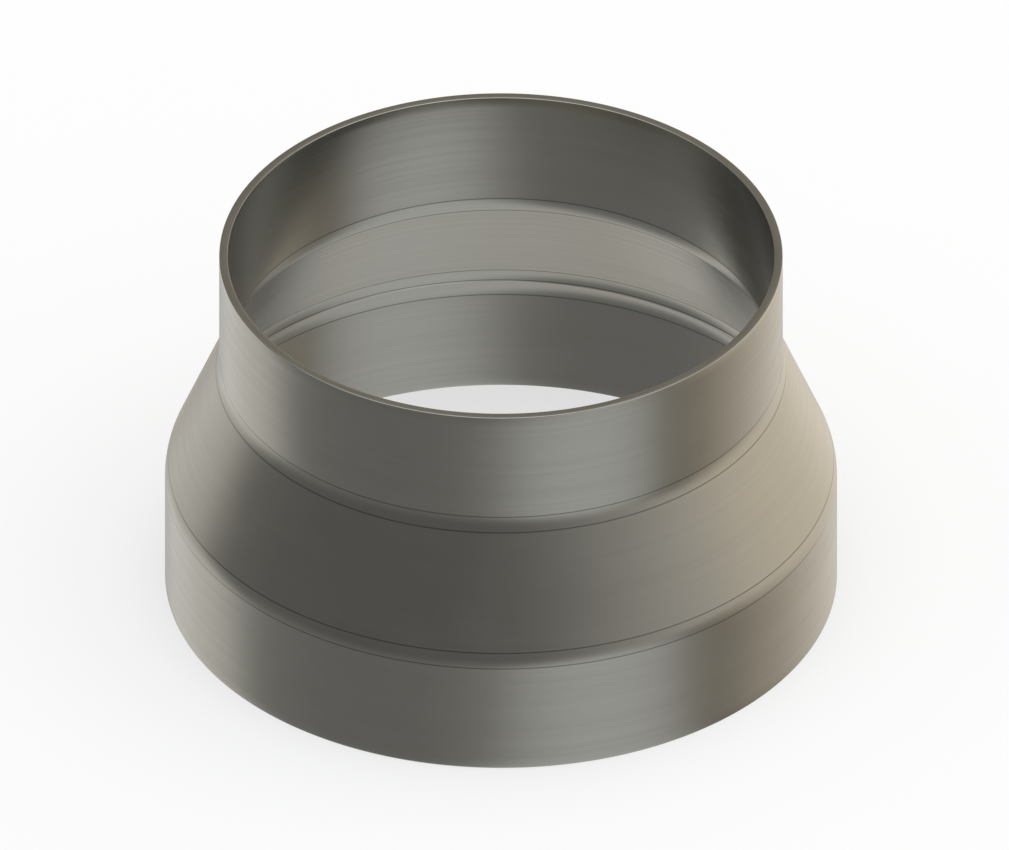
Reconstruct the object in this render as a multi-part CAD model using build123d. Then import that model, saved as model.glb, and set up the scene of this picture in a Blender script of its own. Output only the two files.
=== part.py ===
from build123d import *
import os
from math import acos, atan2, cos, degrees, radians, sin, tan

# A round duct reducer, made in one piece. A large collar and a small collar stand in line on one
# axis, and a cone joins them. Each collar is a socket that a duct's end slides into. The wall is
# even all round, and every bend in it is rounded, inside and outside.
#
# The reducer stands on its large end. Its axis is Z, and the origin is the centre of that end.
# The section is drawn as (radius, height), and turned about the axis.

# Driving dimensions, in millimetres
SMALL_DUCT_DIAMETER = 125.0
LARGE_DUCT_DIAMETER = 150.0
DUCT_CLEARANCE = 1.0  # on the diameter, between a duct and its collar
WALL = 2.0
SMALL_COLLAR_LENGTH = 30.0
CONE_LENGTH = 30.0
LARGE_COLLAR_LENGTH = 30.0
BEND_RADIUS = 10.0
STOP_DEPTH = 1.0  # how far the duct stop stands in from the large bore
STOP_RADIUS = 10.0  # of the hollow curve that leads from the large bore to the stop

# The two collars
small_bore_radius = (SMALL_DUCT_DIAMETER + DUCT_CLEARANCE) / 2
large_bore_radius = (LARGE_DUCT_DIAMETER + DUCT_CLEARANCE) / 2
small_outer_radius = small_bore_radius + WALL
large_outer_radius = large_bore_radius + WALL
stop_edge_radius = large_bore_radius - STOP_DEPTH

# The cone between them. Collar lengths are measured outside, to the corners before rounding.
overall_height = LARGE_COLLAR_LENGTH + CONE_LENGTH + SMALL_COLLAR_LENGTH
outer_corner_height = LARGE_COLLAR_LENGTH + CONE_LENGTH
cone_slope = degrees(atan2(large_outer_radius - small_outer_radius, CONE_LENGTH))
half_bend = tan(radians(cone_slope) / 2)
inner_corner_height = outer_corner_height - WALL * half_bend
bend_setback = BEND_RADIUS * abs(half_bend)


def wall_line(small_radius, large_radius, corner_height):
    """One side of the wall, from the small rim down the cone to the end of the lower bend."""
    collar = Line((small_radius, overall_height), (small_radius, corner_height + bend_setback))
    upper_bend = JernArc(collar @ 1, collar % 1, BEND_RADIUS, cone_slope)
    corner_to_corner = (large_radius - small_radius) / sin(radians(cone_slope))
    cone = PolarLine(upper_bend @ 1, corner_to_corner - 2 * bend_setback, direction=upper_bend % 1)
    lower_bend = JernArc(cone @ 1, cone % 1, BEND_RADIUS, -cone_slope)
    return [collar, upper_bend, cone, lower_bend]


def outside():
    """The outer side, down to the large rim."""
    line = wall_line(small_outer_radius, large_outer_radius, outer_corner_height)
    large_collar = Line(line[-1] @ 1, (large_outer_radius, 0))
    return [*line, large_collar]


def inside():
    """The inner side, down to the large rim. Its lower bend ends at the duct stop's edge."""
    line = wall_line(small_bore_radius, stop_edge_radius, inner_corner_height)
    stop_angle = acos((STOP_RADIUS - STOP_DEPTH) / STOP_RADIUS)
    stop_direction = (sin(stop_angle), -cos(stop_angle))
    stop = JernArc(line[-1] @ 1, stop_direction, STOP_RADIUS, -degrees(stop_angle))
    large_bore = Line(stop @ 1, (large_bore_radius, 0))
    return [*line, stop, large_bore]


def reducer_shell():
    """The whole reducer: the wall's section, turned about the axis."""
    outer_line, inner_line = outside(), inside()
    small_rim = Line(inner_line[0] @ 0, outer_line[0] @ 0)
    large_rim = Line(inner_line[-1] @ 1, outer_line[-1] @ 1)
    section = make_face(Curve() + [*outer_line, large_rim, *inner_line, small_rim])
    return revolve(Plane.XZ * section, axis=Axis.Z)


os.makedirs("parts", exist_ok=True)
export_step(reducer_shell(), "parts/reducer_shell.step")
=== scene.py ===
import math

import bpy
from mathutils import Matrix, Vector


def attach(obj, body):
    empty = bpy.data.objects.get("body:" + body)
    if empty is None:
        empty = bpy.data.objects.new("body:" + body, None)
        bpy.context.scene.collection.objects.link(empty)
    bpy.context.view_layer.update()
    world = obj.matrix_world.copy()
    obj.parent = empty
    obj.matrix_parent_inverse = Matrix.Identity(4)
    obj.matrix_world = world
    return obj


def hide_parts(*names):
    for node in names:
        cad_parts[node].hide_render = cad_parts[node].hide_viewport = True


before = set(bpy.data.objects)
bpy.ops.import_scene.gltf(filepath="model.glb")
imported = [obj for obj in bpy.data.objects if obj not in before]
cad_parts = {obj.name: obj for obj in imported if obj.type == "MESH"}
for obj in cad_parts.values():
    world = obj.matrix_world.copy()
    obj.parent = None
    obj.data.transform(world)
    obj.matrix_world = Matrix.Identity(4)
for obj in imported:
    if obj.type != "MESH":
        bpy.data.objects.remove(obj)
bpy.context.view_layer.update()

MM = 0.001

# The reducer's sizes, in millimetres, as its solid has them
SMALL_BORE_RADIUS = 63.0
LARGE_BORE_RADIUS = 75.5
WALL = 2.0
COLLAR_LENGTH = 30.0
CONE_LENGTH = 30.0
BEND_RADIUS = 10.0
STOP_DEPTH = 1.0
STOP_RADIUS = 10.0
SMALL_OUTER_RADIUS = SMALL_BORE_RADIUS + WALL
LARGE_OUTER_RADIUS = LARGE_BORE_RADIUS + WALL
STOP_EDGE_RADIUS = LARGE_BORE_RADIUS - STOP_DEPTH
SHOULDER_HEIGHT = COLLAR_LENGTH + CONE_LENGTH
HEIGHT = SHOULDER_HEIGHT + COLLAR_LENGTH
CONE_SLOPE = math.atan2(LARGE_OUTER_RADIUS - SMALL_OUTER_RADIUS, CONE_LENGTH)

# How finely the shell is made
RIM_ROUNDING = 0.2  # the broken edge of a rim
STOP_ROUNDING = 0.3  # the worn edge of the duct stop
ROUNDING_STEPS = 5
BEND_STEPS = 16
WALL_STEP = 2.5
SEGMENTS = 384


# Camera

VIEW_ELEVATION = math.atan(math.sqrt(0.5))  # the three axes are equally short in this view
VIEW_WIDTH = 232.71 * MM
VIEW_CENTRE = Vector((0.807, 0.0, 42.15)) * MM
VIEW_DISTANCE = 1.0


def make_camera():
    """A parallel view from the front and above."""
    data = bpy.data.cameras.new("camera")
    data.type = "ORTHO"
    data.ortho_scale = VIEW_WIDTH
    data.clip_start, data.clip_end = 0.01, 20.0
    camera = bpy.data.objects.new("camera", data)
    bpy.context.scene.collection.objects.link(camera)
    back = Vector((0.0, -math.cos(VIEW_ELEVATION), math.sin(VIEW_ELEVATION)))
    camera.location = VIEW_CENTRE + back * VIEW_DISTANCE
    camera.rotation_euler = back.to_track_quat("Z", "Y").to_euler()
    bpy.context.scene.camera = camera


# The shell's section, as (radius, height) points in millimetres

def turned(v, angle):
    c, s = math.cos(angle), math.sin(angle)
    return Vector((c * v.x - s * v.y, s * v.x + c * v.y))


def rounded_corner(before, corner, after, radius, steps):
    """Points of the arc that rounds a corner of the section."""
    backward = (before - corner).normalized()
    onward = (after - corner).normalized()
    half_angle = backward.angle(onward) / 2
    setback = radius / math.tan(half_angle)
    centre = corner + (backward + onward).normalized() * (radius / math.sin(half_angle))
    first = corner + backward * setback - centre
    last = corner + onward * setback - centre
    sweep = math.atan2(first.cross(last), first.dot(last))
    return [centre + turned(first, sweep * i / steps) for i in range(steps + 1)]


def straight(start, end):
    """Points between two ends, leaving both out."""
    count = max(1, round((end - start).length / WALL_STEP))
    return [start.lerp(end, i / count) for i in range(1, count)]


def section():
    """The wall's closed section, by its rounded runs, with straight walls between them. It goes
    down the outside, in along the large rim, up the inside and out along the small rim."""
    inner_shoulder = SHOULDER_HEIGHT - WALL * math.tan(CONE_SLOPE / 2)
    inner_foot = inner_shoulder - (STOP_EDGE_RADIUS - SMALL_BORE_RADIUS) / math.tan(CONE_SLOPE)
    bend_setback = BEND_RADIUS * math.tan(CONE_SLOPE / 2)
    stop_height = inner_foot - bend_setback
    stop_drop = math.sqrt(STOP_RADIUS ** 2 - (STOP_RADIUS - STOP_DEPTH) ** 2)

    small_outer_rim = Vector((SMALL_OUTER_RADIUS, HEIGHT))
    outer_shoulder = Vector((SMALL_OUTER_RADIUS, SHOULDER_HEIGHT))
    outer_foot = Vector((LARGE_OUTER_RADIUS, COLLAR_LENGTH))
    large_outer_rim = Vector((LARGE_OUTER_RADIUS, 0.0))
    large_inner_rim = Vector((LARGE_BORE_RADIUS, 0.0))
    bore_end = Vector((LARGE_BORE_RADIUS, stop_height - stop_drop))
    stop_edge = Vector((STOP_EDGE_RADIUS, stop_height))
    inner_foot_corner = Vector((STOP_EDGE_RADIUS, inner_foot))
    inner_shoulder_corner = Vector((SMALL_BORE_RADIUS, inner_shoulder))
    small_inner_rim = Vector((SMALL_BORE_RADIUS, HEIGHT))

    def rim(before, corner, after):
        return rounded_corner(before, corner, after, RIM_ROUNDING, ROUNDING_STEPS)

    def bend(before, corner, after):
        return rounded_corner(before, corner, after, BEND_RADIUS, BEND_STEPS)

    # The stop is a hollow curve up from the bore, with a worn edge where the lower bend ends
    hollow_centre = Vector((LARGE_BORE_RADIUS - STOP_RADIUS, bore_end.y))
    hollow_sweep = math.asin(stop_drop / STOP_RADIUS) - STOP_ROUNDING / STOP_RADIUS
    hollow = [
        hollow_centre + turned(Vector((STOP_RADIUS, 0.0)), hollow_sweep * i / BEND_STEPS)
        for i in range(BEND_STEPS + 1)
    ]
    edge_top = stop_edge + Vector((0.0, STOP_ROUNDING))
    worn_edge = [
        hollow[-1].lerp(stop_edge, t).lerp(stop_edge.lerp(edge_top, t), t)
        for t in (i / ROUNDING_STEPS for i in range(1, ROUNDING_STEPS + 1))
    ]
    foot_bend = bend(stop_edge, inner_foot_corner, inner_shoulder_corner)

    return {
        "small_outer_rim": rim(small_inner_rim, small_outer_rim, outer_shoulder),
        "outer_shoulder": bend(small_outer_rim, outer_shoulder, outer_foot),
        "outer_foot": bend(outer_shoulder, outer_foot, large_outer_rim),
        "large_outer_rim": rim(outer_foot, large_outer_rim, large_inner_rim),
        "large_inner_rim": rim(large_outer_rim, large_inner_rim, bore_end),
        "stop": hollow + worn_edge,
        "inner_foot": [p for p in foot_bend if p.y > edge_top.y],
        "inner_shoulder": bend(inner_foot_corner, inner_shoulder_corner, small_inner_rim),
        "small_inner_rim": rim(inner_shoulder_corner, small_inner_rim, small_outer_rim),
    }


def make_shell(runs):
    """The section turned about Z, with its faces looking outward."""
    points = []
    ordered = list(runs.values())
    for run, following in zip(ordered, ordered[1:] + ordered[:1]):
        points += run + straight(run[-1], following[0])
    rows = len(points)
    vertices = []
    for segment in range(SEGMENTS):
        angle = 2 * math.pi * segment / SEGMENTS
        c, s = math.cos(angle) * MM, math.sin(angle) * MM
        vertices += [(p.x * c, p.x * s, p.y * MM) for p in points]
    faces = []
    for segment in range(SEGMENTS):
        here, there = segment * rows, (segment + 1) % SEGMENTS * rows
        for row in range(rows):
            after = (row + 1) % rows
            faces.append((here + row, here + after, there + after, there + row))
    mesh = bpy.data.meshes.new("reducer_shell_skin")
    mesh.from_pydata(vertices, [], faces)
    mesh.shade_smooth()
    skin = bpy.data.objects.new("reducer_shell_skin", mesh)
    bpy.context.scene.collection.objects.link(skin)
    return skin


# Node trees

class Graph:
    """Adds nodes to a material or world. A value is a number, a tuple or another node's output."""

    def __init__(self, tree):
        self.tree = tree

    def add(self, kind, inputs=(), out=0, **settings):
        node = self.tree.nodes.new(kind)
        for key, value in settings.items():
            setattr(node, key, value)
        for key, value in dict(inputs).items():
            self.set(node.inputs[key], value)
        return node.outputs[out]

    def set(self, socket, value):
        if isinstance(value, bpy.types.NodeSocket):
            self.tree.links.new(value, socket)
        else:
            socket.default_value = value

    def math(self, operation, *values):
        return self.add("ShaderNodeMath", enumerate(values), operation=operation)

    def vector(self, operation, *values, out=0):
        return self.add("ShaderNodeVectorMath", enumerate(values), out, operation=operation)

    def split(self, vector):
        return self.add("ShaderNodeSeparateXYZ", {0: vector}).node.outputs

    def combine(self, x, y, z):
        return self.add("ShaderNodeCombineXYZ", enumerate((x, y, z)))

    def noise(self, vector, detail, roughness):
        inputs = {"Vector": vector, "Scale": 1.0, "Detail": detail, "Roughness": roughness}
        return self.add("ShaderNodeTexNoise", inputs)

    def remap(self, value, low, high, to_low=0.0, to_high=1.0):
        """As the value goes from low to high, this eases from to_low to to_high."""
        values = enumerate((value, low, high, to_low, to_high))
        return self.add("ShaderNodeMapRange", values, interpolation_type="SMOOTHSTEP")

    def mix(self, factor, a, b):
        node = self.tree.nodes.new("ShaderNodeMix")
        node.data_type = "RGBA"
        self.set(node.inputs[0], factor)
        self.set(node.inputs[6], a)
        self.set(node.inputs[7], b)
        return node.outputs[2]


# Material

STEEL_COLOUR = (0.280, 0.272, 0.245, 1.0)
BRIGHT_STEEL_COLOUR = (0.350, 0.340, 0.312, 1.0)  # where wear has burnished it
DULL_STEEL_COLOUR = (0.225, 0.217, 0.193, 1.0)  # in the turning lines
WITNESS_COLOUR = (0.085, 0.082, 0.074, 1.0)  # in the fine line where a bend starts
SATIN = 0.23  # roughness of the turned surface
BURNISHED = 0.17  # roughness where it is worn
GLOSS_DRIFT = 0.02  # of the roughness, either way
FINE_LINES_PER_MM = 1.4
BROAD_LINES_PER_MM = 0.35
CLOUDS_PER_MM = 0.055
LINE_DEPTH = 0.0015  # of the turning lines, in millimetres
WEAR_WIDTH = 0.7  # from a worn edge, in millimetres
WITNESS_WIDTH = 0.25  # half of the line, in millimetres

# How much of each colour is laid over the steel, where it is strongest
BRIGHT_DRIFT = 0.15
LINE_DULLING = 0.08
WEAR_COVER = 0.8
WITNESS_COVER = 0.85


def make_steel(runs):
    """Satin steel, with turning lines that run round the axis."""
    steel = bpy.data.materials.new("turned_satin_steel")
    steel.use_nodes = True
    shader = steel.node_tree.nodes["Principled BSDF"]
    g = Graph(steel.node_tree)

    place = g.add("ShaderNodeTexCoord", out="Object")
    place = g.vector("MULTIPLY", place, (1 / MM, 1 / MM, 1 / MM))
    x, y, z = g.split(place)
    level = g.combine(x, y, 0.0)
    radius = g.vector("LENGTH", level, out="Value")
    around_x, around_y, _ = g.split(g.vector("NORMALIZE", level))
    profile = g.combine(radius, z, 0.0)
    along = g.math("SUBTRACT", z, radius)  # grows all the way along the wall, rims included

    def rings(turns, per_mm):
        """Coordinates that change slowly round the axis and fast along the wall."""
        return g.combine(
            g.math("MULTIPLY", around_x, turns),
            g.math("MULTIPLY", around_y, turns),
            g.math("MULTIPLY", along, per_mm),
        )

    def near(circles, width):
        """1 on any of these circles round the axis, easing to 0 at the width."""
        nearest = None
        for circle in circles:
            apart = g.vector("DISTANCE", profile, (circle.x, circle.y, 0.0), out="Value")
            nearest = apart if nearest is None else g.math("MINIMUM", nearest, apart)
        return g.remap(nearest, 0.0, width, 1.0, 0.0)

    fine_lines = g.noise(rings(0.5, FINE_LINES_PER_MM), 0.0, 0.5)
    broad_lines = g.noise(rings(0.4, BROAD_LINES_PER_MM), 2.0, 0.5)
    clouds = g.noise(g.vector("MULTIPLY", place, (CLOUDS_PER_MM,) * 3), 3.0, 0.55)

    # The rims and the stop's edge are rubbed bright, unevenly
    corners = [run[len(run) // 2] for name, run in runs.items() if name.endswith("rim")]
    rubbed = near(corners + [runs["stop"][-1]], WEAR_WIDTH)
    wear = g.math("MULTIPLY", rubbed, g.remap(g.noise(rings(5.0, 0.8), 3.0, 0.6), 0.35, 0.62))

    # A fine witness line marks both ends of each bend, and the foot of the stop
    bends = [runs[name] for name in ("outer_shoulder", "outer_foot", "inner_foot", "inner_shoulder")]
    ends = [end for run in bends for end in (run[0], run[-1])]
    witness = near(ends + [runs["stop"][0]], WITNESS_WIDTH)

    drift = g.remap(g.math("ADD", clouds, broad_lines), 0.75, 1.25, 0.0, BRIGHT_DRIFT)
    colour = g.mix(drift, STEEL_COLOUR, BRIGHT_STEEL_COLOUR)
    dulling = g.remap(fine_lines, 0.35, 0.70, 0.0, LINE_DULLING)
    colour = g.mix(dulling, colour, DULL_STEEL_COLOUR)
    colour = g.mix(g.math("MULTIPLY", wear, WEAR_COVER), colour, BRIGHT_STEEL_COLOUR)
    colour = g.mix(g.math("MULTIPLY", witness, WITNESS_COVER), colour, WITNESS_COLOUR)
    g.set(shader.inputs["Base Color"], colour)

    rough = g.remap(clouds, 0.3, 0.7, SATIN - GLOSS_DRIFT, SATIN + GLOSS_DRIFT)
    rough = g.math("ADD", rough, g.remap(fine_lines, 0.3, 0.7, -GLOSS_DRIFT / 2, GLOSS_DRIFT))
    rough = g.math("SUBTRACT", rough, g.math("MULTIPLY", wear, SATIN - BURNISHED))
    g.set(shader.inputs["Roughness"], rough)
    shader.inputs["Metallic"].default_value = 1.0

    relief = g.math("ADD", fine_lines, g.math("MULTIPLY", broad_lines, 2.0))
    bump = g.add("ShaderNodeBump", {"Distance": LINE_DEPTH * MM, "Height": relief})
    g.set(shader.inputs["Normal"], bump)
    return steel


# Stage and light

FLOOR_SIZE = 6.0
FLOOR_GAP = 0.05 * MM
FLOOR_COLOUR = (0.94, 0.94, 0.94, 1.0)
FLOOR_WHITE_SHARE = 0.6  # of plain white in what the camera sees

# The studio is pale all round, with soft panels in it, each painted over the ones before. A flag is a
# dark panel. Azimuth 0 is towards the camera and grows to its right. Widths and heights are halves.
# All are in degrees. A brightness of 1 is white.
LIGHT_MAP_SIZE = 256  # small, because the light is soft everywhere
COOL = (0.97, 1.0, 1.02)
PLAIN = (1.0, 1.0, 1.0)
CREAM = (1.02, 1.0, 0.96)
WARM = (1.1, 1.0, 0.85)
SURROUNDINGS = (0.9, CREAM)
PANELS = {  # azimuth, elevation, width, height, brightness, tint
    "overhead": (0, 90, 400, 55, 1.8, COOL),
    "back_flag": (-170, 10, 80, 50, 0.3, WARM),
    "low_flag": (-90, -45, 140, 15, 0.5, COOL),
    "left_flag": (-40, 0, 85, 45, 0.25, PLAIN),
    "right_flag": (90, -30, 35, 20, 0.15, WARM),
    "front_strip": (35, -50, 30, 30, 1.1, COOL),
    "left_panel": (-130, -30, 25, 40, 1.15, CREAM),
    "right_panel": (130, -5, 55, 35, 1.35, WARM),
}


def make_floor():
    """A pale floor that takes the reducer's shadow. Plain white that only the camera sees lightens it.
    The metal doesn't mirror the floor, but shows the studio's lower half."""
    half = FLOOR_SIZE / 2
    corners = [(-half, -half, 0), (half, -half, 0), (half, half, 0), (-half, half, 0)]
    mesh = bpy.data.meshes.new("floor")
    mesh.from_pydata(corners, [], [(0, 1, 2, 3)])
    paint = bpy.data.materials.new("floor_paint")
    paint.use_nodes = True
    shader = paint.node_tree.nodes["Principled BSDF"]
    shader.inputs["Base Color"].default_value = FLOOR_COLOUR
    shader.inputs["Roughness"].default_value = 1.0
    shader.inputs["Specular IOR Level"].default_value = 0.0
    g = Graph(paint.node_tree)
    seen = g.add("ShaderNodeLightPath", out="Is Camera Ray")
    share = g.math("MULTIPLY", seen, FLOOR_WHITE_SHARE)
    white = g.add("ShaderNodeEmission", {"Color": (1.0, 1.0, 1.0, 1.0), "Strength": 1.0})
    surface = g.add("ShaderNodeMixShader", {0: share, 1: shader.outputs[0], 2: white})
    g.set(paint.node_tree.nodes["Material Output"].inputs["Surface"], surface)
    mesh.materials.append(paint)
    floor = bpy.data.objects.new("floor", mesh)
    floor.location.z = -FLOOR_GAP
    floor.visible_glossy = False
    floor.visible_shadow = False
    bpy.context.scene.collection.objects.link(floor)


def light(brightness, tint):
    """A light's colour."""
    return tuple(brightness * share for share in tint) + (1.0,)


def make_world():
    """The pale studio and its soft panels, which fade out at their edges."""
    world = bpy.data.worlds.new("studio")
    bpy.context.scene.world = world
    world.use_nodes = True
    world.cycles.sampling_method = "MANUAL"
    world.cycles.sample_map_resolution = LIGHT_MAP_SIZE
    g = Graph(world.node_tree)
    x, y, z = g.split(g.add("ShaderNodeTexCoord", out="Generated"))
    up = g.math("ARCSINE", z)
    elevation = g.math("DEGREES", up)
    azimuth = g.math("DEGREES", g.math("ARCTAN2", x, g.math("MULTIPLY", y, -1.0)))
    narrowing = g.math("COSINE", up)
    colour = light(*SURROUNDINGS)
    for panel_azimuth, panel_elevation, width, height, brightness, tint in PANELS.values():
        across = g.math("WRAP", g.math("SUBTRACT", azimuth, panel_azimuth), 180.0, -180.0)
        across = g.math("DIVIDE", g.math("MULTIPLY", across, narrowing), width)
        above = g.math("DIVIDE", g.math("SUBTRACT", elevation, panel_elevation), height)
        apart = g.math("ADD", g.math("MULTIPLY", across, across), g.math("MULTIPLY", above, above))
        cover = g.math("EXPONENT", g.math("MULTIPLY", g.math("MULTIPLY", apart, apart), -1.0))
        colour = g.mix(cover, colour, light(brightness, tint))
    g.set(world.node_tree.nodes["Background"].inputs["Color"], colour)


bpy.context.scene.view_settings.view_transform = "Standard"
make_camera()
section_runs = section()
shell = make_shell(section_runs)
shell.data.materials.append(make_steel(section_runs))
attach(shell, "root")
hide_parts("reducer_shell")
make_floor()
make_world()
